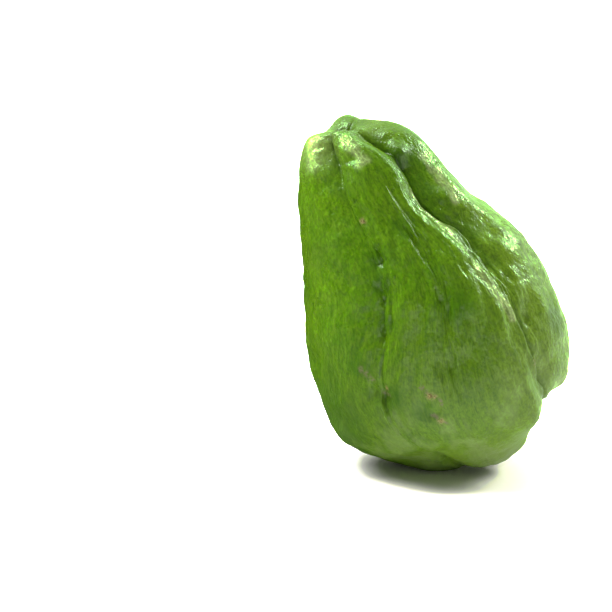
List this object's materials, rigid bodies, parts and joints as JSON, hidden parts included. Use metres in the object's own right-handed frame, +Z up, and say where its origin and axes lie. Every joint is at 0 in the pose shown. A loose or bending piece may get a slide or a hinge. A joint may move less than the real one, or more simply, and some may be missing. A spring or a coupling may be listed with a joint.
{
  "type": "chayote squash",
  "caption": "Pear-shaped green chayote squash, whole, with deep lengthwise furrows and a puckered stem end, standing on its blossom end.",
  "frame": {"origin": "on the ground, under the middle of the fruit's box", "axes": "+Z up; the stem end leans towards -X; -Y is the side with the long front lobe"},
  "size_m": [0.0948, 0.078, 0.1218],
  "materials": {
    "skin": "waxy yellow-green fruit skin, satin, finely wrinkled, with small corky scars"
  },
  "bodies": {
    "root": {"chayote": "skin"}
  },
  "joints": []
}
